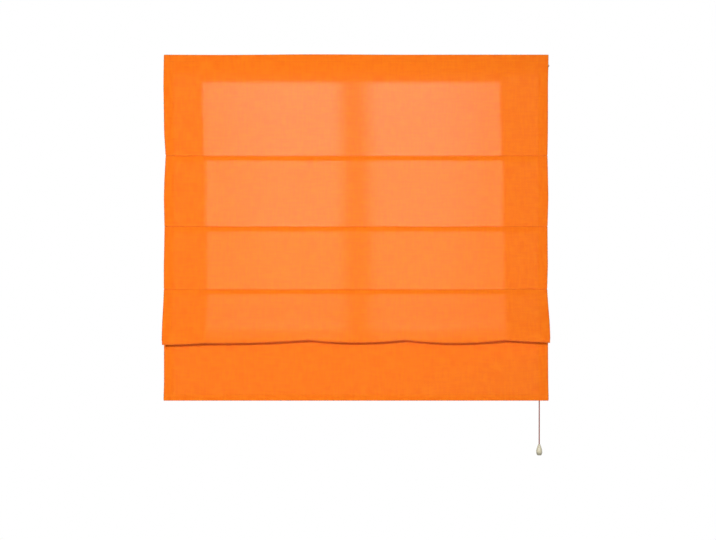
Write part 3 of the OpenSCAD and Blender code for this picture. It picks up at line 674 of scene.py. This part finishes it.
# %% Cloth faces
def normals(grid):
    """Unit normals of a grid, pointing to the back: the direction across the cloth crossed with the
    direction down it. Both are means of the unit steps on either side of a point."""
    directions = []
    for axis in (0, 1):
        step = np.diff(grid, axis=axis)
        step /= np.linalg.norm(step, axis=-1, keepdims=True)
        step = np.moveaxis(step, axis, 0)
        mean = np.concatenate([step[:1], step[:-1] + step[1:], step[-1:]])
        directions.append(np.moveaxis(mean, 0, axis))
    normal = np.cross(directions[1], directions[0])
    return normal / np.linalg.norm(normal, axis=-1, keepdims=True)


def border_loop(rows, columns):
    """Numbers of a grid's border points: down the left side, along the bottom, up and back."""
    number = np.arange(rows * columns).reshape(rows, columns)
    return np.concatenate([number[:-1, 0], number[-1, :-1], number[:0:-1, -1], number[0, :0:-1]])


grid_size = cloth_grid.shape[:2]
half = CLOTH_T / 2 * normals(cloth_grid)
front_points = (cloth_grid - half).reshape(-1, 3)
back_points = (cloth_grid + half).reshape(-1, 3)
cells = grid_faces(*grid_size)
border = border_loop(*grid_size)
rim = len(front_points) + np.arange(len(border))
rim_cells = np.stack([np.roll(border, -1), border, rim, np.roll(rim, -1)], -1)
cloth_uv = np.stack([np.broadcast_to(widths, down_cloth.shape), down_cloth], -1).reshape(-1, 2)

cloth = add_piece(
    "cloth", np.concatenate([front_points, back_points[border]]),
    np.concatenate([cells, rim_cells]).tolist(), cloth_orange,
)
add_uv(cloth, np.concatenate([cloth_uv, cloth_uv[border]]))
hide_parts("blind_cloth")
cloth_back = add_piece(
    "cloth_back", back_points, cells[:, ::-1].tolist(), cloth_orange
)
add_uv(cloth_back, cloth_uv)

# %% [markdown]
# ## Side hems and stitching
# Each long edge is turned to the back and sewn down. The hem is a profile across the width: a tiny
# half turn at the edge, then flat behind the cloth. It follows each free panel and stops at the
# tucks, where the real hem disappears into the seam. The stitches are small closed lozenges laid
# along lines of the sheet. Painting them as a texture would be cheaper, but real thread catches
# light at the edge of the cloth, and as geometry it keeps its shape.

# %% Side hems
SIDE_HEM = 0.030
HEM_TURN = 0.0005
HEM_STEPS = 8
HEM_TURN_POINTS = 7


def hem_profile():
    """Distance in from the edge and distance behind the cloth: half a turn, then flat."""
    angle = np.radians(np.linspace(0, 180, HEM_TURN_POINTS))
    turn = np.stack([-HEM_TURN * np.sin(angle), HEM_TURN * (1 - np.cos(angle))], -1)
    inward = np.linspace(0, SIDE_HEM, HEM_STEPS)[1:]
    return np.concatenate([turn, np.stack([inward, np.full(len(inward), 2 * HEM_TURN)], -1)])


def side_hem(edge, inward, rows):
    """The hem profile at one side edge, carried down the given rows of the sheet."""
    profile = hem_profile()
    grid = cloth_points(edge + inward * np.maximum(profile[:, 0], 0))[0][rows]
    grid[..., 0] += inward * np.minimum(profile[:, 0], 0)
    grid[..., 1] += profile[:, 1]
    return grid if inward < 0 else grid[:, ::-1]


def thicken(piece):
    """Gives a strip the cloth's thickness, half to each side."""
    wall = piece.modifiers.new("cloth thickness", "SOLIDIFY")
    wall.thickness = CLOTH_T
    wall.offset = 0


def add_hems(name, edge, inward):
    """All hems of one side edge as one piece, a strip for each free panel."""
    strips = [side_hem(edge, inward, rows) for rows in panel_rows]
    sizes = [strip.shape[0] * strip.shape[1] for strip in strips]
    starts = np.concatenate([[0], np.cumsum(sizes)])
    faces = [grid_faces(*strip.shape[:2]) + start for strip, start in zip(strips, starts)]
    points = np.concatenate([strip.reshape(-1, 3) for strip in strips])
    hem = add_piece(name, points, np.concatenate(faces).tolist(), cloth_orange)
    add_uv(hem, points[:, [0, 2]])
    thicken(hem)
    return hem


hems = [add_hems("side_hem_left", left_edge, 1), add_hems("side_hem_right", right_edge, -1)]


# %% Stitches
STITCH_PITCH = 0.0042
STITCH_LENGTH = 0.0030
STITCH_WIDTH = 0.0005
STITCH_TIP = 0.25


def stitches(path, outward):
    """Lozenges along a path: three four-sided rings each, narrow at both ends and full in the
    middle, sunk halfway into the cloth."""
    centres, _ = spaced(path, STITCH_PITCH)
    along = np.gradient(centres, axis=0)
    along /= np.linalg.norm(along, axis=1, keepdims=True)
    out = np.array(outward, dtype=float)
    across = np.cross(along, out)
    station = np.array([-0.5, 0, 0.5]) * STITCH_LENGTH
    size = np.array([STITCH_TIP, 1, STITCH_TIP]) * STITCH_WIDTH / 2
    angle = np.radians([0, 90, 180, 270])
    ring = (
        np.cos(angle)[None, :, None] * across[:, None, None, :]
        + np.sin(angle)[None, :, None] * out[None, None, None, :]
    )
    spine = centres[:, None, None, :] + station[None, :, None, None] * along[:, None, None, :]
    return spine + size[None, :, None, None] * ring


def add_stitching(name, rows):
    """One piece from several rows of stitches, each stitch closed by a face at both ends."""
    points = np.concatenate(rows)
    rings, sides = points.shape[1:3]
    first, last = np.arange(sides), np.arange(rings * sides)[:-sides - 1:-1]
    one = np.concatenate([grid_faces(rings, sides, closed=True), [first, last]])
    faces = one[None] + rings * sides * np.arange(len(points))[:, None, None]
    return add_piece(name, points, faces.reshape(-1, 4).tolist(), thread_orange)


FRONT, BACK = (0, -1, 0), (0, 1, 0)
STITCH_INSET = 0.0285
TOP_STITCH = 0.0215
BOTTOM_STITCH = 0.0195
# Columns at each side edge that stay free of stitches
CLEAR_COLUMNS = 4


def down_line(x, rows, depth):
    """A line down the sheet at width x, on its front face or behind it."""
    line_points = cloth_points(np.array([x]))[0][rows][:, 0]
    return line_points + (0, depth, 0)


def cross_line(height, rows, depth):
    """A line across the sheet at the given height within a panel's rows."""
    panel = cloth_grid[rows]
    row = np.argmin(np.abs(panel[:, 0, 2] - height))
    across = panel[row] + (0, depth, 0)
    across[:, 2] = height
    return across[CLEAR_COLUMNS:-CLEAR_COLUMNS]


face = -CLOTH_T / 2
hem_back = 2 * HEM_TURN + CLOTH_T / 2
side_rows = []
for x in (left_edge + STITCH_INSET, right_edge - STITCH_INSET):
    for panel in panel_rows:
        side_rows.append(stitches(down_line(x, panel, face), FRONT))
        side_rows.append(stitches(down_line(x, panel, hem_back), BACK))
top_line = cross_line(cloth_high.z - TOP_STITCH, panel_rows[0], face)
bottom_line = cross_line(cloth_low.z + BOTTOM_STITCH, panel_rows[-1], face)
sewing = [
    add_stitching("side_hem_stitches", side_rows),
    add_stitching("top_hem_stitches", [stitches(top_line, FRONT)]),
    add_stitching("bottom_hem_stitches", [stitches(bottom_line, FRONT)]),
]

# %% [markdown]
# ## Finishes for the imported pieces
# The rail, brackets, guides and rings keep their CAD shapes, so they only need finishes. Powder
# coat has a faint orange peel, plated steel a soft cloudy shine, drawn rods and the rolled bar have
# streaks along their length, and moulded plastic a fine even grain with a clear gloss on top. The
# pull has painted shade at its low end, as if light fell on it from above.

# %% Finishes
finishes = {
    "rail_white": grained("rail_white", (0.74, 0.74, 0.72), (0.80, 0.80, 0.78), 0.0012,
                          gloss=(0.38, 0.5)),
    "tape_white": grained("tape_white", (0.62, 0.61, 0.58), (0.80, 0.79, 0.76), 0.0005,
                          gloss=(0.85, 1), relief=0.8, Sheen_Weight=0.2),
    "plastic_white": grained("plastic_white", (0.74, 0.73, 0.70), (0.79, 0.78, 0.75), 0.0004,
                             gloss=(0.35, 0.48), relief=0.06, Coat_Weight=0.15),
    "plastic_ivory": grained("plastic_ivory", (0.70, 0.64, 0.50), (0.78, 0.73, 0.60), 0.0005,
                             gloss=(0.35, 0.5), relief=0.06, Coat_Weight=0.15),
    "screw_dark": grained("screw_dark", (0.05, 0.045, 0.04), (0.11, 0.10, 0.09), 0.0008,
                          gloss=(0.3, 0.5), relief=0.1, Metallic=0.9),
    "steel_plated": grained("steel_plated", (0.55, 0.55, 0.54), (0.70, 0.70, 0.68), 0.004,
                            gloss=(0.25, 0.42), relief=0.04, Metallic=1.0),
    "brass_pin": grained("brass_pin", (0.62, 0.43, 0.16), (0.78, 0.58, 0.26), 0.001,
                         gloss=(0.22, 0.38), relief=0.05, Metallic=1.0),
    "rod_white": grained("rod_white", (0.70, 0.70, 0.66), (0.80, 0.80, 0.77), 0.0008,
                         stretch=(0.02, 1, 1), gloss=(0.25, 0.4), relief=0.12),
    "ring_plastic": grained("ring_plastic", (0.70, 0.69, 0.64), (0.78, 0.77, 0.73), 0.0006,
                            gloss=(0.25, 0.4), relief=0.05, Subsurface_Weight=0.1),
    "bar_metal": grained("bar_metal", (0.52, 0.53, 0.54), (0.68, 0.69, 0.70), 0.0006,
                         stretch=(0.01, 1, 1), gloss=(0.25, 0.45), relief=0.1, Metallic=1.0),
    "pull_ivory": grained("pull_ivory", (0.54, 0.50, 0.35), (0.62, 0.57, 0.41), 0.006,
                          gloss=(0.22, 0.34), relief=0.03, Coat_Weight=0.15),
}
print("finishes", sorted(finishes))


# %% Painted shade at the low end of the pull
# Painted shade on the pull: full up to the first height above its bottom, gone at the second, and its
# darkest share
PAINTED_SHADE_LOW, PAINTED_SHADE_HIGH = 0.003, 0.013
PAINTED_SHADE_FACTOR = 0.5


def paint_shade_below(material, low, high, shade):
    """Paints shade into a finish: multiplies its colour by shade up to the height low, and by more
    above it, up to 1 at the height high."""
    tree = material.node_tree
    target = tree.nodes["Principled BSDF"].inputs["Base Color"]
    colour = target.links[0].from_socket
    place = add_node(tree, "ShaderNodeTexCoord")
    split = add_node(tree, "ShaderNodeSeparateXYZ")
    rise = add_node(
        tree, "ShaderNodeMapRange", {"interpolation_type": "SMOOTHSTEP"},
        From_Min=low, From_Max=high, To_Min=shade, To_Max=1,
    )
    scaled = add_node(tree, "ShaderNodeVectorMath", {"operation": "SCALE"})
    join(
        tree,
        place.outputs["Object"], split.inputs["Vector"],
        split.outputs["Z"], rise.inputs["Value"],
        colour, scaled.inputs[0],
        rise.outputs["Result"], scaled.inputs["Scale"],
        scaled.outputs["Vector"], target,
    )


# Heights where the painted shade at the pull's low end is full and where it ends
pull_shade_low, pull_shade_high = pull_low.z + PAINTED_SHADE_LOW, pull_low.z + PAINTED_SHADE_HIGH
paint_shade_below(finishes["pull_ivory"], pull_shade_low, pull_shade_high, PAINTED_SHADE_FACTOR)
print("pull darkens below", round(pull_shade_high, 4))

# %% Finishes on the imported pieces
by_node = {
    "rail_white": ["head_rail"],
    "tape_white": ["hook_tape", "loop_tape"],
    "plastic_white": ["end_cap_left", "end_cap_right", "clamp_lever_left", "clamp_lever_right"],
    "plastic_ivory": ["cord_lock_body", "lock_roller", "cord_stops", "joiner_top", "joiner_bottom"]
    + [f"cord_guide_{n}" for n in range(1, CORDS + 1)],
    "screw_dark": ["end_cap_screws"],
    "steel_plated": ["bracket_left", "bracket_right", "clamp_rivet_left", "clamp_rivet_right"]
    + ["lock_axle"],
    "brass_pin": ["lock_pin"],
    "rod_white": [f"rod_{n}" for n in range(1, RODS + 1)],
    "ring_plastic": [f"rings_{n}" for n in range(1, RODS + 1)],
    "bar_metal": ["weight_bar"],
    "pull_ivory": ["cord_pull"],
    "cloth_orange": ["blind_cloth"],
    "cord_fibre": ["pull_cord"] + [f"lift_cord_{n}" for n in range(1, CORDS + 1)],
}
finishes.update(cloth_orange=cloth_orange, cord_fibre=cord_fibre)
for finish, names in by_node.items():
    for name in names:
        nodes[name].data.materials.clear()
        nodes[name].data.materials.append(finishes[finish])
dressed = sum(len(names) for names in by_node.values())
print("dressed", dressed, "of", len(nodes), "packed pieces")

# %% [markdown]
# ## Thread that holds the rings
# Each ring is sewn to its tuck with a few turns of thread round the ring's wire. A turn is a small
# torus: a circle carried round a circle. All turns of all rings are one array, made from the rings'
# places.

# %% Ring threads
RING_OD = 0.014
RING_WIRE = 0.002
TURN_R = 0.0013
TURN_WIRE = 0.00022
TURN_OFFSETS = np.array([-0.0007, 0, 0.0007])
TURN_ROWS, TURN_COLUMNS = 12, 5


def thread_turns(centres):
    """Tori about the X axis: rows go round the ring's wire, columns round the thread."""
    big = np.linspace(0, 2 * np.pi, TURN_ROWS, endpoint=False)[:, None]
    small = np.linspace(0, 2 * np.pi, TURN_COLUMNS, endpoint=False)[None, :]
    reach = TURN_R + TURN_WIRE * np.cos(small)
    torus = np.stack(
        np.broadcast_arrays(TURN_WIRE * np.sin(small), reach * np.cos(big), reach * np.sin(big)), -1
    )
    return centres[:, None, None, :] + torus


def torus_faces(rows, columns):
    """Cells of a grid that closes on itself both ways."""
    i = np.arange(rows)[:, None]
    j = np.arange(columns)[None, :]
    below, right = (i + 1) % rows, (j + 1) % columns
    cells = [i * columns + j, below * columns + j, below * columns + right, i * columns + right]
    return np.stack(cells, -1).reshape(-1, 4)


ring_y = sum(corner.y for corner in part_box("rings_1")) / 2
wire_y = ring_y - (RING_OD - RING_WIRE) / 2
centres = np.array([
    (x + offset, wire_y, z) for z in rod_heights for x in cord_xs for offset in TURN_OFFSETS
])
turns = thread_turns(centres)
first_points = TURN_ROWS * TURN_COLUMNS * np.arange(len(turns))
faces = torus_faces(TURN_ROWS, TURN_COLUMNS)[None] + first_points[:, None, None]
add_piece("ring_threads", turns, faces.reshape(-1, 4).tolist(), thread_orange)

# %% [markdown]
# ## Floor, world and light
# The background is white because the world shows white to the camera and to reflections, while it
# lights the blind with a softer strength. A small lamp at the front left is the main light, and its
# narrowed spread lets the light fall off across the cloth. A wide, weaker lamp at the right keeps
# the far side open, and a lamp high at the rear lights the back. The floor is far below, pale, and
# keeps the blind's shadow; away from it the floor goes over into the white of the world.

# %% World
def background_rays(tree):
    """1 for rays that show the background: from the camera, from a gloss, or straight through a
    clear piece. Light that a cloth scatters as it passes is left out."""
    rays = add_node(tree, "ShaderNodeLightPath").outputs
    clear = mixed(tree, rays["Is Transmission Ray"], rays["Is Diffuse Ray"], "SUBTRACT")
    direct = mixed(tree, rays["Is Camera Ray"], rays["Is Glossy Ray"], "MAXIMUM")
    return mixed(tree, direct, clear, "MAXIMUM")


WORLD_LIGHT = 0.15
world = bpy.data.worlds.new("pale world")
scene.world = world
world.use_nodes = True
tree = world.node_tree
background = tree.nodes["Background"]
background.inputs["Color"].default_value = (1, 1, 1, 1)
seen = background_rays(tree)
strength = add_node(tree, "ShaderNodeMapRange", To_Min=WORLD_LIGHT, To_Max=1.0)
join(tree, seen, strength.inputs["Value"], strength.outputs["Result"], background.inputs["Strength"])
print("world light", WORLD_LIGHT)

# %% Floor
FLOOR_Z = -2.0
FLOOR_HALF = 6.0
FADE_START, FADE_END = 0.5, 1.6

floor_finish, tree, shader = new_finish("pale_floor", Roughness=0.9)
shader.inputs["Base Color"].default_value = (0.8, 0.8, 0.79, 1)
place = add_node(tree, "ShaderNodeTexCoord")
away = add_node(tree, "ShaderNodeVectorMath", {"operation": "DISTANCE"})
away.inputs[1].default_value = (0, 0, FLOOR_Z)
fade = add_node(tree, "ShaderNodeMapRange", From_Min=FADE_START, From_Max=FADE_END)
glow = add_node(tree, "ShaderNodeEmission", Strength=1.0)
mix = add_node(tree, "ShaderNodeMixShader")
seen = background_rays(tree)
join(
    tree,
    place.outputs["Object"], away.inputs[0],
    away.outputs["Value"], fade.inputs["Value"],
    mixed(tree, fade.outputs["Result"], seen, "MULTIPLY"), mix.inputs["Fac"],
    shader.outputs["BSDF"], mix.inputs[1],
    glow.outputs["Emission"], mix.inputs[2],
    mix.outputs["Shader"], tree.nodes["Material Output"].inputs["Surface"],
)
corners = np.array([(-1, -1), (1, -1), (1, 1), (-1, 1)]) * FLOOR_HALF
floor_mesh = bpy.data.meshes.new("floor")
floor_mesh.from_pydata(np.insert(corners, 2, FLOOR_Z, axis=1).tolist(), [], [(0, 1, 2, 3)])
floor_mesh.materials.append(floor_finish)
floor = bpy.data.objects.new("floor", floor_mesh)
scene.collection.objects.link(floor)
print("floor at", FLOOR_Z)


# %% Lamps
def add_lamp(name, place, turn, size, power, spread=180):
    """A rectangular lamp that the camera doesn't see. It shines along its own -Z. Angles are in
    degrees."""
    data = bpy.data.lights.new(name, "AREA")
    data.shape = "RECTANGLE"
    data.size, data.size_y = size
    data.energy = power
    data.spread = np.radians(spread)
    lamp = bpy.data.objects.new(name, data)
    lamp.location = place
    lamp.rotation_euler = np.radians(turn)
    lamp.visible_camera = False
    scene.collection.objects.link(lamp)
    return lamp


add_lamp(
    "front left lamp", place=(-1.2, -4.2, 0.25), turn=(78.7, 0, -16.7), size=(0.45, 0.45), power=63,
    spread=120,
)
add_lamp(
    "front right lamp", place=(1.9, -4.2, 0.6), turn=(76.6, 0, 24), size=(2.0, 2.0), power=41
)
add_lamp("rear lamp", place=(0.5, 2.4, 2.0), turn=(-44, 0, -11.5), size=(2.0, 2.0), power=100)

# %% [markdown]
# ## Light through the cloth
# In the picture the middle of the cloth is paler, because light comes through it from behind. It is
# strongest at the top, fades and warms downwards, and has a darker upright band in the middle. Soft
# panels behind the cloth give this. They are linked to the front face alone, so that the back of
# the blind keeps its plain light, and only the back face lets them pass without a shadow.

# %% Back panels
BACK_Y = 0.01
BACK_SPREAD = 24
BACK_POWER = 2.6
# Left edge, right edge and strength of each column of panels
BACK_COLUMNS = [
    (-0.482, -0.400, 0.76), (-0.400, -0.300, 0.88), (-0.300, -0.072, 1.0), (-0.072, -0.052, 0.78),
    (-0.052, -0.034, 0.50), (-0.034, 0.012, 0.27), (0.012, 0.032, 0.50), (0.032, 0.056, 0.80),
    (0.056, 0.290, 1.0), (0.290, 0.370, 0.84), (0.370, 0.447, 0.70),
]
# Top edge, low edge, strength, share of blue, sideways shift and downward tilt of each row
BACK_ROWS = [
    (-0.062, -0.180, 1.04, 1.00, 0.000, 0), (-0.180, -0.296, 1.02, 0.97, 0.004, 0),
    (-0.296, -0.518, 0.86, 0.87, 0.009, 0), (-0.518, -0.714, 0.60, 0.72, 0.013, 0),
    (-0.714, -0.830, 0.46, 0.76, 0.015, 0), (-0.770, -0.830, 0.34, 0.76, 0.016, 35),
]

front_face = bpy.data.collections.new("front face of the cloth")
front_face.objects.link(cloth)
back_face = bpy.data.collections.new("back face of the cloth")
back_face.objects.link(cloth_back)
back_face.collection_objects[0].light_linking.link_state = "EXCLUDE"
for left, right, across in BACK_COLUMNS:
    for top, low, down, blue, shift, tilt in BACK_ROWS:
        size = (right - left, top - low)
        place = ((left + right) / 2 + shift, BACK_Y, (top + low) / 2)
        power = BACK_POWER * size[0] * size[1] * across * down
        panel = add_lamp("back panel", place, (tilt - 90, 0, 0), size, power, BACK_SPREAD)
        panel.data.color = (1, 1, blue)
        panel.light_linking.receiver_collection = front_face
        panel.light_linking.blocker_collection = back_face
print("back panels", len(BACK_COLUMNS) * len(BACK_ROWS))
